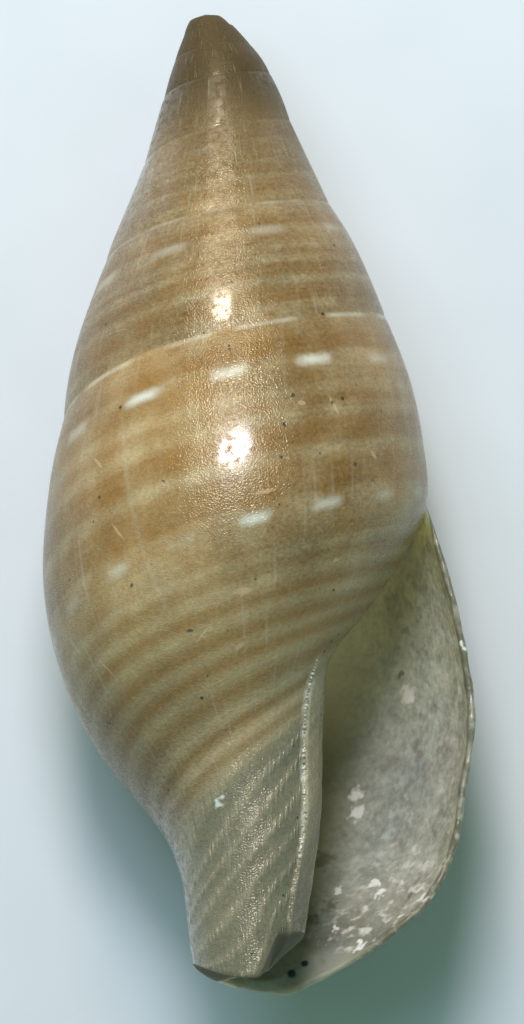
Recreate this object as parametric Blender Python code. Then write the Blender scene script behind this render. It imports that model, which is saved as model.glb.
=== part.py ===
"""The shell of a small dove snail: six whorls coiled to the right, a slit-shaped mouth and a short open canal.

The shell is one piece. Its outer skin is a ribbon, one whorl wide, that winds down the coiling axis from the
tip to the lip and is widened on the last turn to take in the base and the canal. The room inside it is a horn
that winds back from the mouth, and it is cut away. Lengths in the tables are millimetres, and a is the distance
from the tip along the coiling axis. Stages of growth are counted in turns, 0 at the lip and less before it.
"""

import math

import bmesh
import bpy
from mathutils import Matrix, Vector

MM = 0.001

# Outline of the spire: (a, radius)
SPIRE = [
    (0.0, 0.0), (0.03, 0.125), (0.09, 0.195), (0.22, 0.275), (0.485, 0.42), (0.85, 0.56),
    (1.18, 0.667), (1.56, 0.806), (1.99, 0.99), (2.30, 1.14), (2.77, 1.325), (3.17, 1.475),
    (3.56, 1.59), (3.95, 1.67), (4.40, 1.73), (4.954, 1.742), (5.5, 1.742),
]
# The seam between whorls: (stage, a)
SUTURE = [
    (-7, 0.03), (-6, 0.13), (-5, 0.33), (-4, 0.634),
    (-3, 1.104), (-2, 1.949), (-1, 3.09), (0, 4.954),
]
FIRST_STAGE = -6.9
SECOND_WHORL = -6
FIRST_WHORL_HEIGHT = 0.1

# Sections of the last whorl, from below its seam to the end of the canal: (a, radius) at each of nine stations
SECTION_A_TURN_BACK = [
    (3.711, 1.627), (4.333, 1.723), (4.954, 1.742), (5.50, 1.465), (5.92, 1.155),
    (6.33, 0.76), (6.85, 0.605), (7.95, 0.505), (9.10, 0.255),
]
SECTION_HALF_A_TURN_BACK = [
    (4.60, 1.82), (5.50, 1.925), (6.27, 1.84), (6.88, 1.60), (7.38, 1.25),
    (7.86, 0.935), (8.40, 0.78), (8.90, 0.735), (9.28, 0.71),
]
SECTION_AT_LIP = [
    (5.85, 1.945), (6.95, 2.078), (7.75, 1.972), (8.35, 1.834), (8.80, 1.569),
    (9.08, 1.24), (9.27, 0.95), (9.42, 0.72), (9.54, 0.60),
]
# How far the edge of the lip swings back at each station, in degrees
LIP_SWING = [0, 1, 3, 5, 7, 9, 13, 24, 45, 70]
SWING_REACH = 0.5
LAST_STATION = 9
NEXT_SEAM_STATION = 3
PILLAR_END = 9.15

# Relief of the skin, smaller on whorls less high than a full one
FULL_WHORL_HEIGHT = 0.8
WHORL_BULGE = 0.014
SEAM_GROOVE = 0.010
SEAM_GROOVE_STATIONS = 0.25
TIP_LEAN = 0.11
TIP_LEAN_REACH = 0.8

# Inner lip: a thin band laid on the pillar beside the mouth, and the tongue at the pillar's end
INNER_LIP = 0.05
INNER_LIP_WIDTH = 46
INNER_LIP_EDGE = 4
INNER_LIP_TOP = 6.4
INNER_LIP_FADE = 0.5
TONGUE = 0.40
TONGUE_FROM = 85
TONGUE_RISE = 28
TONGUE_FALL = 62

# The room inside: its wall, its top on the outer and the inner side (at the lip, deep inside) in stations
WALL = 0.15
LIP_EDGE = 0.08
LIP_TAPER = 0.08
ROOM_TOP_OUTSIDE = (0.22, 0.5)
ROOM_TOP_INSIDE = (3.25, 3.5)
ROOM_DEPTH = 2.0
MOUTH_STEP = 0.02
PAST_LIP = 0.012
PAST_INNER_LIP = 0.002
CANAL_FLARE = 0.04
CANAL_SWING = 25
CANAL_SWING_POWER = 12
CANAL_RUN_OUT = 10.0
CANAL_OPEN_FOR = 0.11
CANAL_FLOOR = 0.4
CANAL_FLOOR_RAMP = 0.1
ROOM_TAPER = 0.45
PILLAR_TAPER = 0.45
ROOM_FOOT = 0.02
# How finely a station is found, and the step over which the skin's slope is taken, in stations
STATION_STEP = 0.001
SLOPE_STEP = 0.1

# Attitude at rest: how far the tip dips, in degrees, and the depth of the flat spot on the back
REST_PITCH = 9.0
FLAT_DEPTH = 0.05

COLUMNS = 40
RIBBON_STATIONS = [0, 0.15, 0.6, 1.2, 1.8, 2.4]
BASE_STATIONS = [3, 3.5, 4, 4.5, 5, 5.5, 6, 6.5, 7, 7.5, 8, 8.5, 9]
ROOM_STATIONS = 13
SHARP_EDGE = 40

SHELL_COLOUR = (0.36, 0.25, 0.13, 1.0)
SHELL_ROUGHNESS = 0.35


def smooth_step(x):
    x = min(1.0, max(0.0, x))
    return x * x * (3 - 2 * x)


def blend(a, b, share):
    return a + (b - a) * share


def along(knots, x):
    """The value at x of a smooth curve through (x, value) knots."""
    last = len(knots) - 1
    i = 0
    while i < last - 1 and x > knots[i + 1][0]:
        i += 1
    (x0, y0), (x1, y1) = knots[i], knots[i + 1]
    before = knots[max(i - 1, 0)]
    after = knots[min(i + 2, last)]
    slope0 = (y1 - before[1]) / (x1 - before[0])
    slope1 = (after[1] - y0) / (after[0] - x0)
    width = x1 - x0
    s = (x - x0) / width
    return (
        y0 * (1 + 2 * s) * (1 - s) ** 2
        + slope0 * width * s * (1 - s) ** 2
        + y1 * s * s * (3 - 2 * s)
        - slope1 * width * s * s * (1 - s)
    )


def seam(stage):
    return along(SUTURE, stage)


def seam_point(stage):
    a = seam(stage)
    return a, along(SPIRE, a)


def last_whorl(stage, station):
    """A point of the last whorl's section, before the lip's swing: (a, radius)."""
    back = stage * (2 * stage + 1)
    half = -4 * stage * (stage + 1)
    lip = (2 * stage + 1) * (stage + 1)
    point = []
    for i in (0, 1):
        knots = [(0, seam_point(stage)[i])]
        for k in range(LAST_STATION):
            value = (
                back * SECTION_A_TURN_BACK[k][i]
                + half * SECTION_HALF_A_TURN_BACK[k][i]
                + lip * SECTION_AT_LIP[k][i]
            )
            knots.append((k + 1, value))
        point.append(along(knots, station))
    return point


def whorl(stage, station):
    """A point of any whorl's section: an earlier whorl is a smaller copy that still meets the next seam."""
    if stage >= -1:
        return last_whorl(stage, station)
    a0 = seam(stage)
    a3 = seam(stage + 1)
    if station <= NEXT_SEAM_STATION:
        a = blend(a0, a3, station / NEXT_SEAM_STATION)
        return a, along(SPIRE, a)
    next_a, next_r = whorl(stage + 1, station)
    shrink = a3 / whorl(stage + 1, NEXT_SEAM_STATION)[0]
    tuck = along(SPIRE, a3) / whorl(stage + 1, NEXT_SEAM_STATION)[1]
    depth = (station - NEXT_SEAM_STATION) / (LAST_STATION - NEXT_SEAM_STATION)
    return next_a * shrink, next_r * blend(tuck, shrink, depth)


def swing(stage, station):
    """The angle round the axis, in degrees, of a point of the skin."""
    knots = list(enumerate(LIP_SWING))
    held = smooth_step(1 + stage / SWING_REACH)
    return 360 * stage - along(knots, station) * held


def place(a, radius, angle):
    """The point at this distance from the tip, radius and angle. The mouth faces +Z and the lip is at +X."""
    lean = TIP_LEAN * max(0.0, 1 - a / TIP_LEAN_REACH) ** 2
    turn = math.radians(angle)
    return Vector((radius * math.cos(turn) - lean, -a, radius * math.sin(turn))) * MM


def skin(stage, station):
    """A point of the outer skin, with the groove at the seam, the inner lip and the pillar's tongue."""
    a, radius = whorl(stage, station)
    angle = swing(stage, station)
    height = seam(stage) - seam(stage - 1) if stage > SECOND_WHORL else FIRST_WHORL_HEIGHT
    size = min(1.0, height / FULL_WHORL_HEIGHT)
    exposed = min(station / NEXT_SEAM_STATION, 1.0)
    radius += WHORL_BULGE * size * math.sin(math.pi * exposed)
    radius -= SEAM_GROOVE * size * (1 - smooth_step(station / SEAM_GROOVE_STATIONS))
    if stage < -1 or stage == -1 and station < NEXT_SEAM_STATION:
        to_next = (NEXT_SEAM_STATION - station) / SEAM_GROOVE_STATIONS
        radius -= SEAM_GROOVE * size * (1 - smooth_step(to_next))
        return place(a, radius, angle)
    past_mouth = angle + 360
    if 0 <= past_mouth < 180:
        band = 1 - smooth_step((past_mouth - INNER_LIP_WIDTH) / INNER_LIP_EDGE)
        radius += INNER_LIP * band * smooth_step((a - INNER_LIP_TOP) / INNER_LIP_FADE)
    reach = past_mouth - TONGUE_FROM
    tongue = smooth_step(reach / TONGUE_RISE) * (1 - smooth_step((reach - TONGUE_RISE) / TONGUE_FALL))
    a += TONGUE * tongue * smooth_step(station - (LAST_STATION - 1))
    return place(a, radius, angle)


def station_at(stage, a):
    """The station of this stage's section that lies this far from the tip."""
    low, high = 0.0, float(LAST_STATION)
    while high - low > STATION_STEP:
        middle = (low + high) / 2
        if whorl(stage, middle)[0] < a:
            low = middle
        else:
            high = middle
    return high


def room_edges(stage, share):
    """Both sides of the room's section, at this share of the way from the seam to the canal's end."""
    growth = min(stage, 0.0)
    shrink = seam(growth) / seam(0)
    tuck = seam_point(growth)[1] / seam_point(0)[1]
    depth = smooth_step(-growth / LIP_TAPER)
    wall = blend(LIP_EDGE, WALL, depth) * tuck
    at_mouth = blend(blend(*ROOM_TOP_OUTSIDE, depth), LAST_STATION, share)
    past_canal = -growth - CANAL_OPEN_FOR
    above_floor = at_mouth - CANAL_FLOOR * share * smooth_step(past_canal / CANAL_FLOOR_RAMP)
    tapered = station_at(growth, whorl(0, at_mouth)[0] * shrink)
    station = blend(above_floor, tapered, smooth_step(past_canal / ROOM_TAPER))
    a, radius = whorl(growth, station)
    last_a, last_radius = whorl(growth, station - SLOPE_STEP)
    run = math.hypot(a - last_a, radius - last_radius)
    outer_a = a + wall * (radius - last_radius) / run
    outer_radius = radius - wall * (a - last_a) / run
    inner_a, inner_radius = whorl(-1, blend(blend(*ROOM_TOP_INSIDE, depth), LAST_STATION, share))
    on_pillar = smooth_step((inner_a - INNER_LIP_TOP) / INNER_LIP_FADE)
    inner_radius += INNER_LIP * on_pillar - MOUTH_STEP
    inner_shrink = blend(1.0, shrink, smooth_step(-growth / PILLAR_TAPER))
    inner_a *= blend(shrink, inner_shrink, share)
    inner_radius *= blend(tuck, inner_shrink, share)
    outer_angle = swing(growth, station)
    inner_angle = 360 * growth - CANAL_SWING * share**CANAL_SWING_POWER
    if stage > 0:
        outer_angle += 360 * PAST_LIP
        inner_angle += 360 * PAST_INNER_LIP
        inner_radius += CANAL_FLARE * share
    return (outer_a, outer_radius, outer_angle), (inner_a, inner_radius, inner_angle)


def mesh_object(name, build, collection):
    mesh = bpy.data.meshes.new(name)
    form = bmesh.new()
    build(form)
    bmesh.ops.recalc_face_normals(form, faces=form.faces)
    form.to_mesh(mesh)
    form.free()
    made = bpy.data.objects.new(name, mesh)
    collection.objects.link(made)
    return made


def wind_body(form):
    """The filled body: the ribbon, the base of the last turn, the face of the mouth and the two ends."""
    steps = round(-FIRST_STAGE * COLUMNS)
    spare = steps - COLUMNS
    columns = []
    for i in range(steps + 1):
        stage = (i - steps) / COLUMNS
        column = [form.verts.new(skin(stage, station)) for station in RIBBON_STATIONS]
        columns.append(column)
    for i in range(spare + 1):
        columns[i].append(columns[i + COLUMNS][0])
    for i in range(spare, steps + 1):
        stage = (i - steps) / COLUMNS
        first = 1 if i == spare else 0
        columns[i] += [form.verts.new(skin(stage, station)) for station in BASE_STATIONS[first:]]
    for left, right in zip(columns, columns[1:]):
        for k in range(min(len(left), len(right)) - 1):
            form.faces.new((left[k], right[k], right[k + 1], left[k + 1]))
    close_mouth(form, columns[spare][len(RIBBON_STATIONS):], columns[-1])
    close_ends(form, columns, spare)


def close_mouth(form, inner, lip):
    """The face between the inner side of the mouth and the lip, a strip of quads that the horn cuts through."""
    rungs = len(inner)
    stride = (len(lip) - 1) / (rungs - 1)
    spots = [round(k * stride) for k in range(rungs)]
    for k in range(rungs - 1):
        outer = lip[spots[k] : spots[k + 1] + 1]
        ring = [inner[k], inner[k + 1]] + outer[::-1]
        unique = list(dict.fromkeys(ring))
        form.faces.new(unique)


def close_ends(form, columns, spare):
    """The tip and the bottom of the pillar, each a fan round a point on the axis."""
    tip = form.verts.new(place(0.0, 0.0, 0.0))
    rim = [columns[i][0] for i in range(COLUMNS + 1)] + columns[0][-2:0:-1]
    for a, b in zip(rim, rim[1:] + rim[:1]):
        form.faces.new((a, b, tip))
    bottom = form.verts.new(place(PILLAR_END, 0.0, 0.0))
    rim = [column[-1] for column in columns[spare:]]
    for a, b in zip(rim, rim[1:] + rim[:1]):
        form.faces.new((a, b, bottom))


def wind_room(form):
    """The room inside the shell: sections from just before the lip back to its blind end."""
    stages = [PAST_LIP] + [-i / COLUMNS for i in range(round(ROOM_DEPTH * COLUMNS) + 1)]
    rings = []
    for stage in stages:
        edges = [room_edges(stage, k / (ROOM_STATIONS - 1)) for k in range(ROOM_STATIONS)]
        outer = [edge[0] for edge in edges]
        inner = [edge[1] for edge in edges]
        for side in (outer, inner):
            a, radius, angle = side[-1]
            foot = CANAL_RUN_OUT if stage > -CANAL_OPEN_FOR else a + ROOM_FOOT
            side.append((foot, radius, angle))
        rings.append([form.verts.new(place(*point)) for point in outer + inner[::-1]])
    for near, far in zip(rings, rings[1:]):
        for k in range(len(near)):
            after = (k + 1) % len(near)
            form.faces.new((near[k], near[after], far[after], far[k]))
    for ring in (rings[0], rings[-1]):
        for k in range(ROOM_STATIONS):
            form.faces.new((ring[k], ring[k + 1], ring[-k - 2], ring[-k - 1]))


def lay_down(body):
    """Turns the body to its attitude at rest, cuts the flat spot and returns the whole move."""
    turn = Matrix.Rotation(math.radians(-REST_PITCH), 4, "X")
    form = bmesh.new()
    form.from_mesh(body.data)
    form.transform(turn)
    level = min(vert.co.z for vert in form.verts) + FLAT_DEPTH * MM
    everything = form.verts[:] + form.edges[:] + form.faces[:]
    cut = bmesh.ops.bisect_plane(
        form, geom=everything, plane_co=(0, 0, level), plane_no=(0, 0, 1), clear_inner=True
    )
    rim = [edge for edge in cut["geom_cut"] if isinstance(edge, bmesh.types.BMEdge)]
    spot = bmesh.ops.edgeloop_fill(form, edges=rim)["faces"][0]
    middle = spot.calc_center_bounds()
    move = Matrix.Translation(-middle)
    form.transform(move)
    bmesh.ops.recalc_face_normals(form, faces=form.faces)
    form.to_mesh(body.data)
    form.free()
    return move @ turn


def shell_material():
    material = bpy.data.materials.new("shell")
    material.use_nodes = True
    surface = material.node_tree.nodes["Principled BSDF"]
    surface.inputs["Base Color"].default_value = SHELL_COLOUR
    surface.inputs["Roughness"].default_value = SHELL_ROUGHNESS
    return material


def main():
    for old in list(bpy.data.objects):
        bpy.data.objects.remove(old)
    parts = bpy.data.collections.new("pseudamycla_shell")
    cutters = bpy.data.collections.new("cutters")
    bpy.context.scene.collection.children.link(parts)
    bpy.context.scene.collection.children.link(cutters)
    cutters.hide_render = True
    shell = mesh_object("shell", wind_body, parts)
    room = mesh_object("room", wind_room, cutters)
    room.data.transform(lay_down(shell))
    room.hide_render = True
    room.display_type = "WIRE"
    cut = shell.modifiers.new("room inside", "BOOLEAN")
    cut.operation = "DIFFERENCE"
    cut.solver = "EXACT"
    cut.object = room
    shell.data.materials.append(shell_material())
    shell.data.shade_smooth()
    shell.data.set_sharp_from_angle(angle=math.radians(SHARP_EDGE))


main()
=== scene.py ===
"""A small dove snail's shell lying on its back, mouth up, on a pale table.

The shell is one piece, wound from the same rule of growth as its solid. Stage is counted in turns of
growth, 0 at the lip and less before it. Station is counted down the skin of a whorl: 0 at its seam, 3 at
the next seam and 9 at the end of the canal. Lengths of the shell are millimetres in its own frame: the tip
at the middle, the coiling axis along -Y, the mouth facing +Z and the lip at +X.
"""

import math

import bmesh
import bpy
import numpy as np
from mathutils import Matrix, Vector


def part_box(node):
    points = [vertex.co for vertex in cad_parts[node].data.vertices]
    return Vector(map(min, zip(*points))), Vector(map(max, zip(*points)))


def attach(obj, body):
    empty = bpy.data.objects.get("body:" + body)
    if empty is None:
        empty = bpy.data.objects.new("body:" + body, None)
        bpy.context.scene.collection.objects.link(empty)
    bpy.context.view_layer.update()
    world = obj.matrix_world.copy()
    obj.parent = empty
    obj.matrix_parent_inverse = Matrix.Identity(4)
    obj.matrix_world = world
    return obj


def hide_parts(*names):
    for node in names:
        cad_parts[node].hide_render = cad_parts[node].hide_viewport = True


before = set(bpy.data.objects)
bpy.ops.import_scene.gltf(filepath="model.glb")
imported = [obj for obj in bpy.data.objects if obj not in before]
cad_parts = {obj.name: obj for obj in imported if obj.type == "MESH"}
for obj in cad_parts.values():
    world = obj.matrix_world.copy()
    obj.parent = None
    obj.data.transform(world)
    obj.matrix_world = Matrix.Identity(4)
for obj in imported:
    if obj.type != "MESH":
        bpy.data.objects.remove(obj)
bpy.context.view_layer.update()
MM = 0.001

# The rule of growth. A snail adds to its lip a little at a time and turns as it does, so each whorl is a
# larger copy of the one before. Knots are (distance from the tip, radius) for the spire's outline and, at
# each station, for three sections of the last whorl. The seam's path is (stage, distance from the tip).
SPIRE = [
    (0.0, 0.0), (0.03, 0.125), (0.09, 0.195), (0.22, 0.275), (0.485, 0.42), (0.85, 0.56),
    (1.18, 0.667), (1.56, 0.806), (1.99, 0.99), (2.30, 1.14), (2.77, 1.325), (3.17, 1.475),
    (3.56, 1.59), (3.95, 1.67), (4.40, 1.73), (4.954, 1.742), (5.5, 1.742),
]
SEAM = [
    (-7, 0.03), (-6, 0.13), (-5, 0.33), (-4, 0.634),
    (-3, 1.104), (-2, 1.949), (-1, 3.09), (0, 4.954),
]
SECTION_A_TURN_BACK = [
    (3.711, 1.627), (4.333, 1.723), (4.954, 1.742), (5.50, 1.465), (5.92, 1.155),
    (6.33, 0.76), (6.85, 0.605), (7.95, 0.505), (9.10, 0.255),
]
SECTION_HALF_A_TURN_BACK = [
    (4.60, 1.82), (5.50, 1.925), (6.27, 1.84), (6.88, 1.60), (7.38, 1.25),
    (7.86, 0.935), (8.40, 0.78), (8.90, 0.735), (9.28, 0.71),
]
SECTION_AT_LIP = [
    (5.85, 1.945), (6.95, 2.078), (7.75, 1.972), (8.35, 1.834), (8.80, 1.569),
    (9.08, 1.24), (9.27, 0.95), (9.42, 0.72), (9.54, 0.60),
]
LIP_SWING = [0, 1, 3, 5, 7, 9, 13, 24, 45, 70]
SWING_REACH = 0.5
LAST_STATION = 9
NEXT_SEAM = 3
EARLIEST_STAGE = SEAM[0][0]


def ease(x):
    x = np.clip(x, 0.0, 1.0)
    return x * x * (3 - 2 * x)


def blend(a, b, share):
    return a + (b - a) * share


def knot_slopes(values, steps):
    """Slopes of a smooth curve at its knots, along the first axis."""
    last = len(values) - 1
    found = []
    for i in range(last + 1):
        before, after = max(i - 1, 0), min(i + 1, last)
        found.append((values[after] - values[before]) / (steps[after] - steps[before]))
    return np.array(found)


def between(start, end, start_slope, end_slope, width, share):
    """A smooth curve from one knot to the next, share of the way along."""
    return (
        start * (1 + 2 * share) * (1 - share) ** 2
        + start_slope * width * share * (1 - share) ** 2
        + end * share**2 * (3 - 2 * share)
        - end_slope * width * share**2 * (1 - share)
    )


def along(knots, x):
    """The values at x of a smooth curve through (x, value) knots."""
    places, values = np.array(knots, float).T
    slopes = knot_slopes(values, places)
    i = np.clip(np.searchsorted(places, x) - 1, 0, len(places) - 2)
    width = places[i + 1] - places[i]
    return between(values[i], values[i + 1], slopes[i], slopes[i + 1], width, (x - places[i]) / width)


def seam(stage):
    """Distance of the seam from the tip."""
    return along(SEAM, stage)


def last_whorl(stage, station):
    """Distance from the tip and radius on the last whorl, from the shares of its three sections."""
    back = stage * (2 * stage + 1)
    half = -4 * stage * (stage + 1)
    lip = (2 * stage + 1) * (stage + 1)
    start = (seam(stage), along(SPIRE, seam(stage)))
    i = np.clip(np.ceil(station).astype(int) - 1, 0, LAST_STATION - 1)
    found = []
    for k in (0, 1):
        knots = [start[k]] + [
            back * a[k] + half * b[k] + lip * c[k]
            for a, b, c in zip(SECTION_A_TURN_BACK, SECTION_HALF_A_TURN_BACK, SECTION_AT_LIP)
        ]
        knots = np.array(knots)
        slopes = knot_slopes(knots, range(LAST_STATION + 1))
        ends = [np.take_along_axis(knots, (i + step)[None], 0)[0] for step in (0, 1)]
        end_slopes = [np.take_along_axis(slopes, (i + step)[None], 0)[0] for step in (0, 1)]
        found.append(between(*ends, *end_slopes, 1, station - i))
    return found


def spire_whorl(stage, station):
    """Distance from the tip and radius on the whorls before the last."""
    a = blend(seam(stage), seam(stage + 1), station / NEXT_SEAM)
    return a, along(SPIRE, a)


def angle_of(stage, station):
    """The angle round the axis in degrees. Near the lip the lines of growth swing back by the canal."""
    return 360 * stage - along(list(enumerate(LIP_SWING)), station) * ease(1 + stage / SWING_REACH)


# The skin of the whorls: each bulges a little between its seams, and the seam is a shallow groove. On the
# pillar beside the mouth lies the inner lip, a thin glaze with an edge, and the pillar ends in a tongue.
# Widths round the pillar are degrees past the mouth. The lip is a little wavy.
FULL_WHORL = 0.8
BULGE = 0.022
GROOVE = 0.008
GROOVE_STATIONS = 0.12
TIP_LEAN = 0.11
TIP_LEAN_REACH = 0.8
GLAZE = 0.05
GLAZE_WIDTH = 46
GLAZE_WIDENS = 17
GLAZE_WIDENS_FROM = 7.6
GLAZE_WIDENS_OVER = 1.4
GLAZE_EDGE = 4
GLAZE_TOP = 6.4
GLAZE_RISES_OVER = 0.5
HALF_TURN = 180
TONGUE = 0.40
TONGUE_FROM = 75
TONGUE_RISE = 27
TONGUE_FALL = 95
LIP_WAVES = [(2.3, 0.55, 0.4), (5.6, 0.35, 1.9), (12.5, 0.22, 0.7)]
WAVE_REACH = 0.04


def place(a, radius, angle):
    """Points at a distance along the axis, a radius and an angle. The tip leans to one side."""
    lean = TIP_LEAN * np.maximum(0.0, 1 - a / TIP_LEAN_REACH) ** 2
    turn = np.radians(angle)
    return np.stack([radius * np.cos(turn) - lean, -a, radius * np.sin(turn)], -1)


def skin(stage, station):
    """Points of the outer skin, as an array with x, y, z last."""
    stage, station = np.broadcast_arrays(np.asarray(stage, float), np.asarray(station, float))
    on_last = (stage > -1) | ((stage == -1) & (station >= NEXT_SEAM))
    last = last_whorl(np.maximum(stage, -1), station)
    earlier = spire_whorl(np.minimum(stage, -1), np.minimum(station, NEXT_SEAM))
    a, radius = [np.where(on_last, *pair) for pair in zip(last, earlier)]
    size = np.minimum(1.0, (seam(stage) - seam(np.maximum(stage - 1, EARLIEST_STAGE))) / FULL_WHORL)
    radius = radius + BULGE * size * np.sin(np.pi * np.minimum(station / NEXT_SEAM, 1))
    radius -= GROOVE * size * (1 - ease(station / GROOVE_STATIONS))
    radius -= np.where(on_last, 0, GROOVE * size * (1 - ease((NEXT_SEAM - station) / GROOVE_STATIONS)))
    angle = angle_of(stage, station)
    past_mouth = angle + 360
    glazed = on_last & (past_mouth < HALF_TURN) & (station >= NEXT_SEAM)
    width = GLAZE_WIDTH + GLAZE_WIDENS * ease((station - GLAZE_WIDENS_FROM) / GLAZE_WIDENS_OVER)
    band = 1 - ease((past_mouth - width) / GLAZE_EDGE)
    radius += np.where(glazed, GLAZE * band * ease((a - GLAZE_TOP) / GLAZE_RISES_OVER), 0)
    reach = past_mouth - TONGUE_FROM
    tongue = ease(reach / TONGUE_RISE) * (1 - ease((reach - TONGUE_RISE) / TONGUE_FALL))
    a = a + np.where(on_last, TONGUE * tongue * ease(station - (LAST_STATION - 1)), 0)
    wave = sum(high * np.sin(rate * station + start) for rate, high, start in LIP_WAVES)
    angle = angle + np.where(on_last, wave * ease(station) * ease(1 + stage / WAVE_REACH), 0)
    return place(a, radius, angle)


# The room inside: the outer wall seen from within, and the pillar with the wall of the whorl before. The
# wall is thin at the lip and by the seam, and back from the lip its foot rises. Past the slit of the canal
# the two sides meet in a floor.
WALL = 0.15
LIP_EDGE = 0.06
LIP_TAPER = 0.08
WALL_THINS_BY_SEAM = 0.6
ROOM_DEPTH = 0.9
ROOM_TOP = 0.5
FOOT_RISES = 5.4
FOOT_RISES_FROM = 0.1
FOOT_RISES_OVER = 0.8
PILLAR_SHRINKS_OVER = 0.45
CANAL_CLOSES = (0.18, 0.33)
FLOOR_FROM = 0.86
SMALL_STEP = 1e-3
SMALL_GAP = 0.02


def outer_wall_inside(stage, share):
    """Points of the outer wall's inner side, share 0 at the seam and 1 at the canal's end."""
    depth = ease(-stage / LIP_TAPER)
    foot = LAST_STATION - FOOT_RISES * ease((-stage - FOOT_RISES_FROM) / FOOT_RISES_OVER)
    station = blend(ROOM_TOP * depth, foot, share)
    here = skin(stage, station)
    down = skin(stage, np.maximum(station - SMALL_STEP, 0.0)) - skin(stage, station + SMALL_STEP)
    back = skin(stage - SMALL_STEP, station) - here
    inward = np.cross(down, back)
    inward /= np.linalg.norm(inward, axis=-1, keepdims=True)
    outward = here * (1, 0, 1)
    inward *= -np.sign((inward * outward).sum(-1, keepdims=True))
    wall = blend(LIP_EDGE, WALL, depth) * ease((station + SMALL_GAP) / WALL_THINS_BY_SEAM)
    return here + inward * wall[..., None]


def pillar_inside(stage, share):
    """Points of the pillar and of the whorl before, from share 0 at the seam to 1 at the canal's end."""
    shrink = seam(stage) / seam(0.0)
    tuck = along(SPIRE, seam(stage)) / along(SPIRE, seam(0.0))
    top = NEXT_SEAM + ROOM_TOP * ease(-stage / LIP_TAPER)
    station = blend(top, LAST_STATION, share)
    a, radius = last_whorl(np.full_like(station, -1.0), station)
    radius = radius + GLAZE * ease((a - GLAZE_TOP) / GLAZE_RISES_OVER)
    kept = blend(1.0, shrink, ease(-stage / PILLAR_SHRINKS_OVER))
    a = a * blend(shrink, kept, share)
    radius = radius * blend(tuck, kept, share)
    return place(a, radius, 360 * stage)


# The shell's surface, woven as sheets of quads that share their edges: the skin from the tip to the lip,
# the lip's rounded edge, both sides of the room, the canal's edge and the pillar's end. Each corner keeps
# its stage and station for the colours.
COLUMNS = 180
FIRST_STAGE = -6.9
SPIRE_ROWS = 36
BASE_ROWS = 96
RIM_STEPS = 6
RIM_BULGE = 0.03
DEEP_COLUMNS = 45
NEAR_LIP = 0.3
OUTSIDE, LINING = 0, 1
points, faces, corners, regions = [], [], [], []


def add_points(grid):
    """Adds an array of points and returns their numbers in the same shape."""
    flat = np.asarray(grid).reshape(-1, 3)
    first = sum(map(len, points))
    points.append(flat)
    return np.arange(first, first + len(flat)).reshape(np.shape(grid)[:-1])


def add_sheet(numbers, stages, stations, region):
    """Adds the quads of a sheet, given its points' numbers, stages and stations as arrays of one shape."""
    stages, stations, _ = np.broadcast_arrays(stages, stations, numbers)
    for i in range(numbers.shape[0] - 1):
        for j in range(numbers.shape[1] - 1):
            ring = [(i, j), (i + 1, j), (i + 1, j + 1), (i, j + 1)]
            unique = {numbers[spot]: (stages[spot], stations[spot]) for spot in ring}
            if len(unique) > 2:
                faces.append(list(map(int, unique)))
                corners.extend(unique.values())
                regions.append(region)


spire_stations = np.linspace(0, NEXT_SEAM, SPIRE_ROWS + 1)
base_stations = np.linspace(NEXT_SEAM, LAST_STATION, BASE_ROWS + 1)
all_stations = np.concatenate([spire_stations, base_stations[1:]])
turns = -np.arange(round(-FIRST_STAGE * COLUMNS), -1, -1) / COLUMNS
first_of_last = len(turns) - 1 - COLUMNS

ribbon = np.zeros((len(turns), SPIRE_ROWS + 1), int)
ribbon[:, :-1] = add_points(skin(turns[:, None], spire_stations[None, :-1]))
ribbon[: first_of_last + 1, -1] = ribbon[COLUMNS:, 0]
last_turns = turns[first_of_last:]
base = np.zeros((COLUMNS + 1, BASE_ROWS + 1), int)
base[1:] = add_points(skin(last_turns[1:, None], base_stations[None, :]))
base[0, 0] = ribbon[-1, 0]
base[0, 1:] = add_points(skin(np.full(BASE_ROWS, -1.0), base_stations[1:]))
ribbon[first_of_last + 1 :, -1] = base[1:, 0]
add_sheet(ribbon, turns[:, None], spire_stations[None, :], OUTSIDE)
add_sheet(base, last_turns[:, None], base_stations[None, :], OUTSIDE)

# The room's two sides run back from the lip and share their top edge. Behind the canal they share their
# bottom edge too.
near = -np.arange(round(NEAR_LIP * COLUMNS) + 1) / COLUMNS
deep = -NEAR_LIP - np.arange(1, round((ROOM_DEPTH - NEAR_LIP) * DEEP_COLUMNS) + 1) / DEEP_COLUMNS
room_turns = np.concatenate([near, deep])
pillar_shares = (base_stations - NEXT_SEAM) / (LAST_STATION - NEXT_SEAM)
wall_shares = all_stations / LAST_STATION
pillar_points = pillar_inside(room_turns[:, None], pillar_shares[None, :])
wall_points = outer_wall_inside(room_turns[:, None], wall_shares[None, :])
closing = ease((-room_turns - CANAL_CLOSES[0]) / (CANAL_CLOSES[1] - CANAL_CLOSES[0]))[:, None]
floor_share = ease((wall_shares - FLOOR_FROM) / (1 - FLOOR_FROM))[None, :] * closing
wall_points = blend(wall_points, pillar_points[:, -1:, :], floor_share[..., None])
pillar = np.zeros(pillar_points.shape[:2], int)
pillar[0] = base[0]
pillar[1:] = add_points(pillar_points[1:])
wall = add_points(wall_points)
wall[:, 0] = pillar[:, 0]
closed_from = int(np.argmax(closing[:, 0] >= 1))
wall[closed_from:, -1] = pillar[closed_from:, -1]
add_sheet(pillar, room_turns[:, None] - 1, base_stations[None, :], LINING)
add_sheet(wall, room_turns[:, None], all_stations[None, :], LINING)

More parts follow.
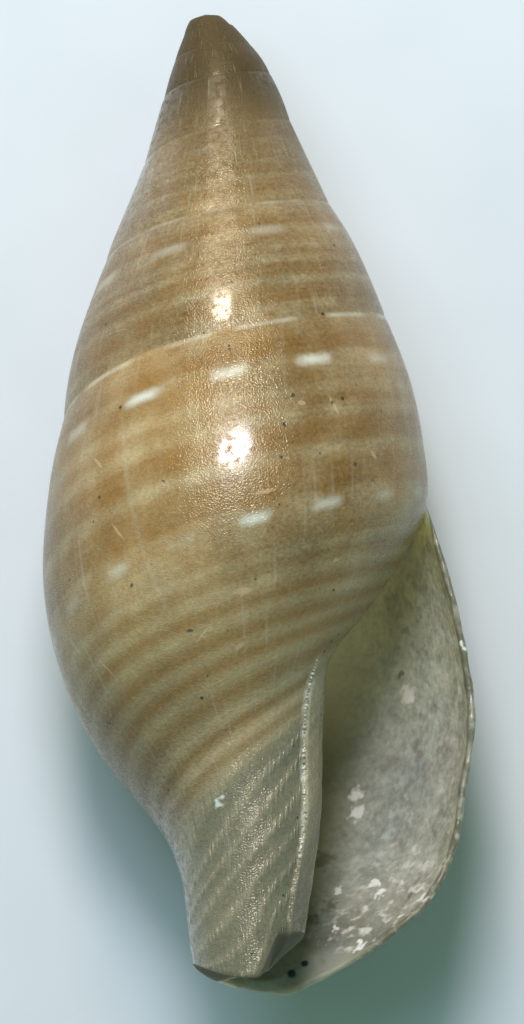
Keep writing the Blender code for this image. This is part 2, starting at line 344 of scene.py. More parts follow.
# The lip's edge is rounded from the skin over to the wall inside, and so is the canal's edge.
lip = np.concatenate([ribbon[-1], base[-1, 1:]])
lip[0] = pillar[0, 0]
cloud = np.concatenate(points)
over = np.linspace(0, np.pi, RIM_STEPS + 1)[1:-1, None, None]
outer_edge, inner_edge = cloud[lip], cloud[wall[0]]
onward = skin(0.0, all_stations) - skin(-SMALL_STEP, all_stations)
onward /= np.linalg.norm(onward, axis=-1, keepdims=True)
half_wall = np.linalg.norm(outer_edge - inner_edge, axis=-1, keepdims=True) / 2
rounded = (outer_edge + inner_edge) / 2 + (outer_edge - inner_edge) / 2 * np.cos(over)
rounded = rounded + onward * half_wall * np.sin(over)
rim = np.concatenate([lip[None], add_points(rounded), wall[:1]])
rim[:, 0] = lip[0]
add_sheet(rim, 0.0, all_stations[None, :], LINING)

canal = slice(0, closed_from + 1)
outer_foot = base[::-1][canal, -1]
share = np.linspace(0, 1, RIM_STEPS + 1)[1:-1, None, None]
curve = blend(cloud[outer_foot], cloud[wall[canal, -1]], share)
curve = curve - (0, 1, 0) * np.sin(np.pi * share) * RIM_BULGE
foot = np.concatenate([outer_foot[None], add_points(curve), wall[None, canal, -1]])
foot[:, 0] = rim[:, -1]
add_sheet(foot, room_turns[None, canal], LAST_STATION, LINING)

# The pillar ends in a low cone, rounded at its rim and coloured past the canal's end, and the tip and the
# room's far end are closed. The rings are (share of the rim's width, drop).
PILLAR_END = 9.42
END_RINGS = ((0.97, 0.015), (0.92, 0.02), (0.8, 0.02), (0.6, 0.01), (0.35, 0.0))
END_STAGE, END_STATION = -0.5, LAST_STATION + 1.0
front_edge = base[: COLUMNS + 1 - closed_from, -1]
loop = np.concatenate([front_edge, foot[1:, closed_from], pillar[closed_from - 1 : 0 : -1, -1]])
cloud = np.concatenate(points)
middle = place(np.array(PILLAR_END), np.array(0.0), 0.0)
rings = [loop]
for share, drop in END_RINGS:
    rings.append(add_points(blend(middle, cloud[loop], share) - (0, drop, 0)))
rings.append(np.full(len(loop), add_points(middle[None])[0]))
end = np.array(rings)
add_sheet(np.concatenate([end, end[:, :1]], axis=1), END_STAGE, END_STATION, LINING)
tip_rim = np.concatenate([ribbon[: COLUMNS + 1, 0], ribbon[0, -2:0:-1], ribbon[:1, 0]])
tip = np.full(len(tip_rim), add_points(place(np.array(0.0), np.array(0.0), 0.0)[None])[0])
add_sheet(np.array([tip_rim, tip]), FIRST_STAGE, 0.0, OUTSIDE)
far_rim = np.concatenate([pillar[-1], wall[-1, -2:0:-1], pillar[-1, :1]])
far_end = np.full(len(far_rim), add_points(np.concatenate(points)[far_rim].mean(0)[None])[0])
add_sheet(np.array([far_rim, far_end]), -ROOM_DEPTH, 0.0, LINING)

# Laid on its back, the shell's tip dips, and a spot on the back is flat where it rests. The surface is
# moved to where its solid is and made one mesh, which carries stage and station for the relief and colours.
TIP_DIP = 9.0
dip = Matrix.Rotation(math.radians(-TIP_DIP), 3, "X")
cloud = np.concatenate(points) @ np.array(dip).T * MM
box_low, box_high = map(np.array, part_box("shell"))
used = np.unique(np.concatenate([np.array(face) for face in faces]))
shift = box_high - cloud[used].max(0)
cloud += shift
cloud[:, 2] = np.maximum(cloud[:, 2], box_low[2])
grown = np.zeros((len(cloud), 2))
outer = np.zeros(len(cloud))
woven = bpy.data.meshes.new("woven_shell")
woven.from_pydata(cloud.tolist(), [], faces)
face_ends = np.cumsum([len(face) for face in faces])[:-1]
for face, side, growths in zip(faces, regions, np.split(np.array(corners), face_ends)):
    grown[face] = growths
    if side == OUTSIDE:
        outer[face] = 1
growth = woven.uv_layers.new(name="growth")
growth.data.foreach_set("uv", np.array(corners, np.float32).ravel())
for name, domain, values in (
    ("stage", "POINT", grown[:, 0]),
    ("station", "POINT", grown[:, 1]),
    ("outer", "POINT", outer),
    ("lined", "FACE", np.array(regions)),
):
    woven.attributes.new(name, "FLOAT", domain).data.foreach_set("value", np.array(values, np.float32))
finishes = [bpy.data.materials.new(name) for name in ("outer_skin", "lining", "lip_grains")]
outer_skin, lining, lip_grains = finishes
woven.materials.append(outer_skin)
shell = bpy.data.objects.new("shell_skin", woven)
bpy.context.scene.collection.objects.link(shell)
form = bmesh.new()
form.from_mesh(woven)
bmesh.ops.delete(form, geom=[v for v in form.verts if not v.link_faces], context="VERTS")
bmesh.ops.recalc_face_normals(form, faces=form.faces)
form.to_mesh(woven)
form.free()


# A tree of nodes is written as expressions. A wire is one socket of a node, and sums and products of wires
# add Math nodes.
class Wire:
    def __init__(self, tree, socket):
        self.tree, self.socket = tree, socket

    def math(self, operation, *others):
        return self.tree.node("ShaderNodeMath", {"operation": operation}, dict(enumerate((self,) + others)))

    def __add__(self, other):
        return self.math("ADD", other)

    def __mul__(self, other):
        return self.math("MULTIPLY", other)

    def __sub__(self, other):
        return self.math("SUBTRACT", other)

    def __rsub__(self, other):
        return self.tree.node("ShaderNodeMath", {"operation": "SUBTRACT"}, {0: other, 1: self})

    __radd__, __rmul__ = __add__, __mul__

    def wave(self):
        """1 at whole numbers and 0 halfway between them."""
        return (self * math.tau).math("COSINE") * 0.5 + 0.5

    def rise(self, start, end):
        """0 before start and 1 after end, eased."""
        settings = {"interpolation_type": "SMOOTHSTEP"}
        return self.tree.node("ShaderNodeMapRange", settings, {0: self, 1: start, 2: end, 3: 0.0, 4: 1.0})

    def near(self, centre, width):
        """1 at the centre and 0 from a width away."""
        return 1 - (self - centre).math("ABSOLUTE").rise(0.0, width)

    def most(self, other):
        return self.math("MAXIMUM", other)

    def towards(self, other, share):
        """This value where share is 0 and the other where it is 1."""
        return self * (1 - share) + share * other


class Tree:
    def __init__(self, group):
        self.group = group

    def node(self, kind, settings, inputs, output=0):
        """Adds a node with its settings and the values or wires of its inputs, and returns an output."""
        made = self.group.nodes.new(kind)
        for name, value in settings.items():
            if name == "stops":
                ramp = made.color_ramp
                ramp.interpolation = "EASE"
                while len(ramp.elements) < len(value):
                    ramp.elements.new(1.0)
                for stop, (position, colour) in zip(ramp.elements, value):
                    stop.position = position
                    stop.color = colour
            else:
                setattr(made, name, value)
        for name, value in inputs.items():
            for one in value if isinstance(value, list) else [value]:
                self.feed(made.inputs[name], one)
        return Wire(self, made.outputs[output])

    def feed(self, socket, value):
        if isinstance(value, Wire):
            self.group.links.new(value.socket, socket)
        else:
            socket.default_value = value

    def mix(self, share, first, second):
        return self.node("ShaderNodeMix", {"data_type": "RGBA"}, {0: share, 6: first, 7: second}, 2)

    def shade(self, colour, value):
        """A colour made darker or lighter by a value."""
        return self.node("ShaderNodeVectorMath", {"operation": "SCALE"}, {0: colour, "Scale": value})

    def levels(self, value, stops, last):
        """A grey ramp over a value from 0 to last."""
        stops = [(at / last, (level, level, level, 1.0)) for at, level in stops]
        return self.node("ShaderNodeValToRGB", {"stops": stops}, {0: value * (1 / last)})

    def noise(self, place, scale, detail=1.0):
        """A cloud of values around 0.5."""
        return self.node("ShaderNodeTexNoise", {}, {"Vector": place, "Scale": scale, "Detail": detail})

    def whorl_noise(self, stage, station, cells, layer=0.0, detail=1.0):
        """Noise laid along the whorls, with so many cells a turn and a station. Each layer has its own."""
        along_whorl, down = stage * cells[0], station * cells[1]
        place = self.node("ShaderNodeCombineXYZ", {}, {0: along_whorl, 1: down, 2: layer})
        return self.noise(place, 1.0, detail)

    def part(self, place, axis):
        """One of the three numbers of a place."""
        return self.node("ShaderNodeSeparateXYZ", {}, {0: place}, axis)

    def bump(self, height):
        """The surface's direction, bumped by a height in millimetres."""
        return self.node("ShaderNodeBump", {}, {"Strength": 1.0, "Distance": MM, "Height": height})


# Fine relief, made by Geometry Nodes over the woven surface: spiral cords, strongest on the pillar, faint
# lines of growth across them, the lumps of the lining near the lip, and a row of grains along the inner
# lip's edge. Pairs are the stations or stages between which a thing comes in or goes out.
FIRST_CORD = 3.4
CORDS_A_STATION = 2.27
CORDS_CROWD = 0.083
CORDS_STEEPEN = (6.2, 7.6)
CORD_SLOPE = 3.0
SLOPE_CENTRE = 0.82
FAINT_CORDS = (3.1, 3.6)
FAINT_SHARE = 0.25
PILLAR_CORDS = (6.0, 6.9)
CORDS_END = (8.6, 9.0)
GROWTH_LINE_CELLS = (70.0, 0.5)
LINES_BY_SEAM = (0.0, 0.2)
LINES_END = (8.7, 9.0)
LINES_ON_SPIRE = (-6.5, -4.0)
LUMPS_IN_ROOM = (-0.35, -0.15)
LUMPS_AT_LIP = (-0.006, -0.001)
LUMPS_BY_SEAM = (0.3, 1.2)
LUMPS_END = (8.5, 9.0)
CRUMBS_AT_LIP = (-0.015, -0.001)
LUMP_SCALE = 3200.0
CRUMB_SCALE = 5200.0
GRAIN_STAGE = (GLAZE_WIDTH + 1.7) / 360 - 1
GRAINS_FROM, GRAINS_TO = 5.6, 8.7
SMALLEST_GRAIN, LARGEST_GRAIN = (0.1,) * 3, (1.35,) * 3
SEED = 7
relief = bpy.data.node_groups.new("relief", "GeometryNodeTree")
SIZES = {
    "Cord height": 0.0055 * MM,
    "Growth line height": 0.005 * MM,
    "Lump height": 0.045 * MM,
    "Grain size": 0.019 * MM,
}
relief.interface.new_socket("Geometry", in_out="INPUT", socket_type="NodeSocketGeometry")
for name in SIZES:
    relief.interface.new_socket(name, in_out="INPUT", socket_type="NodeSocketFloat")
relief.interface.new_socket("Seed", in_out="INPUT", socket_type="NodeSocketInt")
relief.interface.new_socket("Geometry", in_out="OUTPUT", socket_type="NodeSocketGeometry")
tree = Tree(relief)


def given(name):
    """One of the tree's own inputs."""
    return tree.node("NodeGroupInput", {}, {}, name)


def carried(name):
    """A value that the mesh carries."""
    return tree.node("GeometryNodeInputNamedAttribute", {"data_type": "FLOAT"}, {"Name": name}, "Attribute")


def cord_count(stage, station):
    """Counts the spiral cords down from the first, a whole number at each. The pillar's run steeper."""
    below = station - FIRST_CORD - (stage + SLOPE_CENTRE) * station.rise(*CORDS_STEEPEN) * CORD_SLOPE
    return below * CORDS_A_STATION + below * below * CORDS_CROWD


def glaze_widening(station):
    """How much wider the inner lip's glaze gets towards the canal, in turns."""
    return (station - GLAZE_WIDENS_FROM).rise(0.0, GLAZE_WIDENS_OVER) * (GLAZE_WIDENS / 360)


stage, station, outer_side = carried("stage"), carried("station"), carried("outer")
inner_side = 1 - outer_side
strength = station.rise(*FAINT_CORDS) * FAINT_SHARE + station.rise(*PILLAR_CORDS) * (1 - FAINT_SHARE)
cords = cord_count(stage, station).wave() * strength * (1 - station.rise(*CORDS_END))
lines = tree.whorl_noise(stage, station, GROWTH_LINE_CELLS) - 0.5
lines = lines * station.rise(*LINES_BY_SEAM) * (1 - station.rise(*LINES_END)) * stage.rise(*LINES_ON_SPIRE)
where = tree.node("GeometryNodeInputPosition", {}, {})
by_seam = station.rise(*LUMPS_BY_SEAM)
lumps = (tree.noise(where, LUMP_SCALE, 3.0) - 0.5) * by_seam * (1 - station.rise(*LUMPS_END))
lumps = lumps * stage.rise(*LUMPS_IN_ROOM) * (1 - stage.rise(*LUMPS_AT_LIP))
crumbs = (tree.noise(where, CRUMB_SCALE, 3.0) - 0.5) * by_seam * stage.rise(*CRUMBS_AT_LIP)
height = (cords * given("Cord height") + lines * given("Growth line height")) * outer_side
height = height + (lumps * inner_side + crumbs) * given("Lump height")
outward = tree.node("GeometryNodeInputNormal", {}, {})
offset = tree.shade(outward, height)
raised = tree.node("GeometryNodeSetPosition", {}, {"Geometry": given("Geometry"), "Offset": offset})

# The grains sit on the glaze's edge, on the points of the one column that is nearest to it.
on_edge = (stage - glaze_widening(station) - GRAIN_STAGE).math("ABSOLUTE").math("LESS_THAN", 0.5 / COLUMNS)
on_edge = on_edge * station.math("GREATER_THAN", GRAINS_FROM) * station.math("LESS_THAN", GRAINS_TO)
edge_points = tree.node("GeometryNodeMeshToPoints", {}, {"Mesh": raised, "Selection": on_edge})
ball = tree.node("GeometryNodeMeshIcoSphere", {}, {"Radius": given("Grain size"), "Subdivisions": 2})
lined = {"Name": "lined", "Value": float(finishes.index(lip_grains))}
ball = tree.node("GeometryNodeStoreNamedAttribute", {"domain": "FACE"}, {0: ball, **lined})
ball = tree.node("GeometryNodeSetMaterial", {}, {"Geometry": ball, "Material": lip_grains})
sizes = {0: SMALLEST_GRAIN, 1: LARGEST_GRAIN, "Seed": given("Seed")}
uneven = tree.node("FunctionNodeRandomValue", {"data_type": "FLOAT_VECTOR"}, sizes)
placed = {"Points": edge_points, "Instance": ball, "Scale": uneven}
grains = tree.node("GeometryNodeInstanceOnPoints", {}, placed)
whole = tree.node("GeometryNodeJoinGeometry", {}, {0: [raised, grains]})
whole = tree.node("GeometryNodeRealizeInstances", {}, {0: whole})
for level, finish in enumerate(finishes):
    chosen = carried("lined").math("GREATER_THAN", level - 0.5)
    coated = {"Geometry": whole, "Selection": chosen, "Material": finish}
    whole = tree.node("GeometryNodeSetMaterial", {}, coated)
result = relief.nodes.new("NodeGroupOutput")
tree.feed(result.inputs[0], whole)

modifier = shell.modifiers.new("relief", "NODES")
modifier.node_group = relief
sockets = {item.name: item.identifier for item in relief.interface.items_tree if item.in_out == "INPUT"}
for name, value in SIZES.items():
    modifier[sockets[name]] = value
modifier[sockets["Seed"]] = SEED
drawn = shell.evaluated_get(bpy.context.evaluated_depsgraph_get())
mesh = bpy.data.meshes.new_from_object(drawn)
shell.modifiers.clear()
shell.data = mesh
mesh.name = "shell_skin"
mesh.shade_smooth()

# The tree's mesh comes with one slot that has no finish.
empty_slot = mesh.materials[:].index(None)
mesh.materials.pop(index=empty_slot)

# The skin's colours: honey-brown bands between pale cords, two rows of white dashes and a white thread by
# the seam. Below the bands the pillar is grey and glassy. The spire is plainer, and the tip is dark honey.
SKIN_DARK = (0.285, 0.150, 0.043, 1.0)
SKIN_PALE = (0.43, 0.32, 0.165, 1.0)
SKIN_LOW = (0.15, 0.098, 0.042, 1.0)
CORD_PALE = (0.37, 0.31, 0.195, 1.0)
DASH_WHITE = (0.66, 0.64, 0.54, 1.0)
PILLAR_GREY = (0.160, 0.142, 0.093, 1.0)
SPIRE_HONEY = (0.21, 0.125, 0.042, 1.0)
TIP_HONEY = (0.050, 0.026, 0.003, 1.0)
CALLUS = (0.34, 0.285, 0.18, 1.0)
CALLUS_LOW = (0.155, 0.135, 0.09, 1.0)
# Painted shadow below the glaze's end by the canal.
END_SHADOW_BROWN = (0.15, 0.13, 0.08, 1.0)
GLOSS_TINT = (1.0, 0.87, 0.66, 1.0)

# The pattern. Bands and cords are (station, paleness) down from the seam. The tones and the strengths of
# the dash rows are (turns past the last whorl's start, value). Each row has its dashes a turn, the place of
# the first, and (station, half width). The thread by the seam has breaks in the same way.
BANDS = [
    (0, 0.55), (0.32, 0.35), (0.42, 0.1), (0.62, 0.05), (0.72, 0.5), (1.08, 0.3), (1.23, 0.65),
    (1.38, 0.25), (1.55, 0.75), (1.72, 0.1), (1.9, 0.1), (2.07, 0.8), (2.28, 0.2), (2.58, 0.1), (2.7, 0.6),
    (3.05, 0.6), (3.24, 0.45), (3.4, 0.8), (3.57, 0.35), (3.77, 0.85), (4, 0.15), (4.2, 0.85), (4.48, 0.1),
    (4.68, 0.7), (4.9, 0.05), (5.12, 0.75), (5.4, 0.08), (5.75, 0.75), (5.93, 0.05), (6.17, 0.85),
    (6.37, 0.25), (6.57, 0.95),
]
BANDS_END = 6.8
# Painted light and shade: the tones round the whorl are partly the skin's own and partly light and shade on
# its sides.
ROUND_TONE_AND_SHADE = [
    (0, 0.85), (0.07, 0.85), (0.13, 0.78), (0.19, 0.66), (0.25, 0.8), (0.30, 1), (0.36, 1.05), (0.44, 0.85),
    (1, 0.85),
]
LOW_TONE_AND_SHADE = [(0, 1.12), (0.28, 1.12), (0.37, 0.92), (0.47, 0.64), (1, 0.8)]
ROW_A_STRENGTH = [
    (0, 0.75), (0.05, 0.35), (0.1, 0.4), (0.17, 0.95), (0.35, 1), (0.42, 0.65), (0.6, 0.9), (1, 0.75),
]
ROW_B_STRENGTH = [
    (0, 0.4), (0.11, 0.35), (0.16, 0.8), (0.25, 1), (0.28, 0.7), (0.305, 0.2), (0.34, 0.7), (0.39, 0.5),
    (0.43, 0.35), (0.6, 0.8), (1, 0.6),
]
DASHES_A, FIRST_DASH_A, ROW_A = 12.5, 0.29, (0.81, 0.145)
DASHES_B, FIRST_DASH_B, ROW_B = 15.87, 0.07, (2.83, 0.14)
DASHES_ABOVE, FIRST_DASH_ABOVE, ROW_ABOVE = 8.7, 0.64, (0.77, 0.2)
THREAD_BREAKS, FIRST_BREAK, THREAD = 11.5, 0.1, (0.06, 0.07)
DASH_ENDS = (0.4, 1.0)

# Where the colours change: the stations, the stages or the distances in the frame between which one goes
# over to the next, and the glaze's by degrees past the mouth.
BANDS_TO_CORDS = (4.2, 6.2)
PILLAR_GREYS = (6.2, 6.95)
PILLAR_CORDS_SHOW = (6.3, 6.9)
BASE_FROM, BASE_TO = (3.0, 5.0), (6.3, 6.9)
UPPER_TONES_END = (3.0, 5.5)
PATCHES_FADE = (2.5, 5.5)
SPIRE_PLAIN = (-4.5, -1.2)
SPIRE_DASHES = (-3.2, -1.3)
LAST_WHORL = (-1.01, -0.99)
SPIRE_GOES_HONEY = (3.3 * MM, 4.4 * MM)
TIP_GOES_HONEY = (4.1 * MM, 4.95 * MM)
TIP_GOES_DULL = (3.9 * MM, 4.7 * MM)
GLAZE_COLOURS = (52.0, 46.0)
GLAZE_STARTS = (5.5, 6.2)
GLAZE_LOWERS = (7.2, 8.6)
GLAZE_LINE = (48.5, 4.0)
GLAZE_LINE_STARTS = (5.3, 6.0)
GLAZE_LINE_ENDS = (7.6, 8.3)
TONE_STEPS_UP = (-1.02, -0.98)
CRACK_STARTS, CRACK_ENDS = (0.9, 1.3), (4.0, 3.2)
END_SHADOW_STATIONS, END_SHADOW_STAGES = (8.82, 8.9), (-0.77, -0.785)
COAT_SIDES = (1.0 * MM, 0.45 * MM)
COAT_CENTRE = -0.25 * MM
COAT_BY_SEAM = (1.0, 1.5)
COAT_ON_SPIRE = (-5.5, -3.0)

# How strongly each thing shows, and heights of the finest relief in millimetres.
SPIRE_HONEY_SHARE = 0.55
TIP_HONEY_SHARE = 0.92
LOW_BANDS_SHARE = 0.45
EARLIER_TONE = 0.82
CLOUDY, STREAKY, DUSTY = 0.55, 0.28, 0.6
ROW_A_SHOWS, ROW_B_SHOWS, ROW_ABOVE_SHOWS = 0.9, 0.8, 0.55
CRACK_SHOWS, LINES_SHOW, MARKS_SHOW = 0.1, 0.14, 0.45
MOTES_SHOW, SPECKS_SHOW, CHIP_SHOWS = 0.75, 0.9, 0.9
SKIN_ROUGHNESS, ROUGHNESS_VARIES, TIP_DULLNESS = 0.14, 0.2, 0.3
GLITTER_HEIGHT, SHEEN_HEIGHT, RIDGE_HEIGHT = 0.0055, 0.002, 0.010

# How the noises are laid: cells a turn and a station, or cells a metre.
WOBBLE_CELLS = (7.0, 0.8)
PATCH_CELLS = (34.0, 1.7)
STREAK_CELLS = (16.0, 16.0)
FAINT_CELLS = (11.0, 1.0)
LINE_CELLS = (150.0, 0.6)
SHEEN_CELLS = (260.0, 1.5)
BEAD_CELLS = (130.0, 2.0)
CLOUD_SCALE = 1300.0
EDGE_SCALE = 9000.0
DUST_SCALE = 26000.0
MOTE_SCALE = 10500.0
GLITTER_SCALE = 62000.0
ROUGH_SCALE = 2500.0
COAT_SCALE = 16000.0

# Dirt and damage, each at its place: dark specks, (stage, station, radius), specks along the mouth's edge,
# (x, y, z, radius) in millimetres of the table's frame, a white chip on the pillar, and tan scratches and
# flecks, (stage, station, half length, half width, tilt in degrees).
DIRT = (0.02, 0.022, 0.014, 1.0)
MARK_TAN = (0.62, 0.45, 0.26, 1.0)
CHIP_WHITE = (0.62, 0.61, 0.52, 1.0)
SPECKS = [
    (-0.845, 1.42, 0.026), (-0.6415, 0.82, 0.024), (-0.7835, 2.09, 0.022), (-0.8465, 4.24, 0.02),
    (-0.6775, 5.22, 0.024), (-0.5575, 5.98, 0.022), (-0.7575, 3.7, 0.014), (-0.575, 2.53, 0.02),
    (-0.8175, 2.13, 0.014), (-0.615, 2.07, 0.014), (-0.844, 0.03, 0.03),
]
EDGE_SPECKS = [
    (1.142, -0.300, 2.297, 0.022), (1.072, -0.357, 2.449, 0.018), (0.992, -0.435, 2.532, 0.022),
    (0.922, -0.502, 2.581, 0.016), (0.842, -0.570, 2.647, 0.02), (0.772, -0.636, 2.687, 0.022),
    (0.701, -0.728, 2.691, 0.024), (0.671, -1.101, 2.369, 0.02), (0.676, -1.183, 2.184, 0.018),
    (0.641, -1.300, 2.369, 0.018), (0.360, -2.295, 2.778, 0.018), (0.188, -3.036, 2.917, 0.018),
]
CHIP = (-0.664, 6.91, 0.075)
STREAKS = [
    (-0.745, 3.82, 0.12, 0.035, 12), (-0.835, 1.5, 0.10, 0.02, 60), (-0.8725, 2.23, 0.06, 0.022, 45),
    (-0.7675, 2.5, 0.12, 0.018, 0), (-0.805, 1.42, 0.05, 0.02, 10), (-0.7375, 4.7, 0.08, 0.03, -10),
    (-0.84, 3.72, 0.05, 0.02, 0), (-0.70, 4.25, 0.13, 0.014, -25), (-0.585, 3.9, 0.14, 0.014, 62),
    (-0.64, 2.35, 0.10, 0.014, 50), (-0.555, 3.3, 0.10, 0.014, 62), (-0.62, 1.42, 0.09, 0.014, 35),
]
MM_A_TURN, MM_A_STATION = 11.5, 0.55
CRACK_STAGE, CRACK_STATION, CRACK_SLANT, CRACK_WIDTH = -0.65, 1.6, 0.0105, 0.004
RAGGED_SCALE = 12000.0
RAGGED_BY = 0.2 * MM
SOFT_EDGE = 0.4


def frame_spot(stage, station, size):
    """A round spot of the skin where it lies in the table's frame, in millimetres."""
    return (*((np.array(dip) @ skin(stage, station) * MM + shift) / MM), size)


def ragged(tree, place):
    """The place moved a little to and fro, so that round spots come out ragged."""
    clouds = {"Vector": place, "Scale": RAGGED_SCALE, "Detail": 1.0}
    clouds = tree.node("ShaderNodeTexNoise", {}, clouds, "Color")
    clouds = tree.node("ShaderNodeVectorMath", {"operation": "SUBTRACT"}, {0: clouds, 1: (0.5, 0.5, 0.5)})
    return tree.node("ShaderNodeVectorMath", {}, {0: place, 1: tree.shade(clouds, RAGGED_BY)})


def spots(tree, place, places):
    """1 within a distance of any of some places, (x, y, z, distance) in millimetres."""
    found = 0.0
    for x, y, z, size in places:
        ends = {0: place, 1: (x * MM, y * MM, z * MM)}
        away = tree.node("ShaderNodeVectorMath", {"operation": "DISTANCE"}, ends, "Value")
        found = away.rise(size * MM, size * MM * SOFT_EDGE).most(found)
    return found


def growth_of(tree):
    """The stage and station of the shell's surface."""
    growth = tree.node("ShaderNodeUVMap", {"uv_map": "growth"}, {})
    return tree.part(growth, "X"), tree.part(growth, "Y")


def surface_of(material):
    """The material's tree, its surface's sockets and the place in the piece's own frame."""
    material.use_nodes = True
    tree = Tree(material.node_tree)
    spot = tree.node("ShaderNodeTexCoord", {}, {}, "Object")
    return tree, tree.group.nodes["Principled BSDF"].inputs, spot


def translucent(surface, share, reach):
    """Lets light spread through the thin shell, red the furthest."""
    surface["Subsurface Weight"].default_value = share
    surface["Subsurface Radius"].default_value = (1.0, 0.8, 0.5)
    surface["Subsurface Scale"].default_value = reach * MM


# Bands, cords and patches of the skin, then the pillar and the glaze of the inner lip over them.
tree, surface, spot = surface_of(outer_skin)
stage, station = growth_of(tree)
tipward = tree.part(spot, "Y")
round_last = stage + 1.0
on_last = stage.rise(*LAST_WHORL)
wobble = tree.whorl_noise(stage, station, WOBBLE_CELLS) - 0.5
bands = tree.levels(station + wobble * 0.10, BANDS, BANDS_END)
patches = tree.whorl_noise(stage, station, PATCH_CELLS, 3.0, 2.0).rise(0.35, 0.68)
patches = patches.towards(0.4, station.rise(*PATCHES_FADE))
bands = bands * (patches * 0.4 + 0.7) + patches * 0.28 - 0.06
plain = 1 - stage.rise(*SPIRE_PLAIN)
bands = bands * (1 - plain * 0.65) + plain * 0.3
colour = tree.mix(bands, SKIN_DARK, SKIN_PALE)
colour = tree.mix(tipward.rise(*SPIRE_GOES_HONEY) * SPIRE_HONEY_SHARE, colour, SPIRE_HONEY)
low_bands = tree.mix(bands, SKIN_LOW, CORD_PALE)
colour = tree.mix(station.rise(*BANDS_TO_CORDS) * LOW_BANDS_SHARE, colour, low_bands)
pillar_cords = cord_count(stage, station).wave()
pillar_cords = pillar_cords * pillar_cords * pillar_cords * station.rise(*PILLAR_CORDS_SHOW)
pillar = tree.mix(pillar_cords * 0.32 + patches * 0.18, PILLAR_GREY, CORD_PALE)
colour = tree.mix(station.rise(*PILLAR_GREYS), colour, pillar)
past_mouth = (round_last - glaze_widening(station)) * 360.0
callus = past_mouth.rise(*GLAZE_COLOURS) * station.rise(*GLAZE_STARTS)
colour = tree.mix(callus, colour, tree.mix(station.rise(*GLAZE_LOWERS), CALLUS, CALLUS_LOW))
callus_edge = past_mouth.near(*GLAZE_LINE) * station.rise(*GLAZE_LINE_STARTS)
callus_edge = callus_edge * (1 - station.rise(*GLAZE_LINE_ENDS))
callus_edge = callus_edge * (tree.noise(spot, EDGE_SCALE).rise(0.4, 0.65) * 0.45 + 0.1)
colour = tree.mix(callus_edge, colour, DASH_WHITE)

# The tone of the skin: darker and lighter round the last whorl and its base, partly its own colour and
# partly painted light and shade across the whorl's sides, cloudy, streaked and dusty.
on_base = station.rise(*BASE_FROM) * (1 - station.rise(*BASE_TO))
tone_and_shade = tree.levels(round_last, ROUND_TONE_AND_SHADE, 1.0).towards(1.0, station.rise(*UPPER_TONES_END))
tone_and_shade = tone_and_shade * tree.levels(round_last, LOW_TONE_AND_SHADE, 1.0).towards(1.0, 1 - on_base)
tone_and_shade = tone_and_shade * (stage.rise(*TONE_STEPS_UP) * (1 - EARLIER_TONE) + EARLIER_TONE)
clouds = tree.noise(spot, CLOUD_SCALE, 2.0) - 0.5
streaks = tree.whorl_noise(stage, station, STREAK_CELLS, 2.0, 2.0) - 0.5
dust = tree.noise(spot, DUST_SCALE) - 0.5
colour = tree.shade(colour, tone_and_shade + clouds * CLOUDY + streaks * STREAKY + dust * DUSTY)

# White dashes in two rows on the last whorl and one above it, the thread by the seam, a crack and the lines
# of growth.
edge = (tree.noise(spot, EDGE_SCALE) - 0.5) * 0.5
at_row = station + edge * 0.06
row_a = (stage * DASHES_A + FIRST_DASH_A + wobble * 0.15 + edge * 0.3).wave().rise(*DASH_ENDS)
row_a = row_a * at_row.near(*ROW_A)
row_b = (stage * DASHES_B + FIRST_DASH_B + wobble * 0.2 + edge * 0.3).wave().rise(*DASH_ENDS)
row_b = row_b * at_row.near(*ROW_B) * on_last
above = (stage * DASHES_ABOVE + FIRST_DASH_ABOVE + wobble * 0.3).wave().rise(*DASH_ENDS)
above = above * station.near(*ROW_ABOVE) * ROW_ABOVE_SHOWS
row_a = above.towards(row_a, on_last) * tree.levels(round_last, ROW_A_STRENGTH, 1.0) * ROW_A_SHOWS
row_b = row_b * tree.levels(round_last, ROW_B_STRENGTH, 1.0) * ROW_B_SHOWS
faint = tree.whorl_noise(stage, station, FAINT_CELLS, 5.0).rise(0.3, 0.62) * 0.4 + 0.6
thread = (stage * THREAD_BREAKS + FIRST_BREAK + wobble).wave().rise(0.05, 0.5) * station.near(*THREAD)
thread = thread * (stage.rise(-1.2, -0.98) * 0.26 + 0.16) * faint
dashes = ((row_a + row_b) * faint + thread) * stage.rise(*SPIRE_DASHES)
colour = tree.mix(dashes, colour, DASH_WHITE)
colour = tree.mix(tipward.rise(*TIP_GOES_HONEY) * TIP_HONEY_SHARE, colour, TIP_HONEY)
crack = (stage - CRACK_STAGE + (station - CRACK_STATION) * CRACK_SLANT).near(0.0, CRACK_WIDTH)
crack = crack * station.rise(*CRACK_STARTS) * station.rise(*CRACK_ENDS) * CRACK_SHOWS
growth_lines = tree.whorl_noise(stage, station, LINE_CELLS, 8.0).rise(0.58, 0.85) * LINES_SHOW
colour = tree.mix(crack.most(growth_lines), colour, DASH_WHITE)

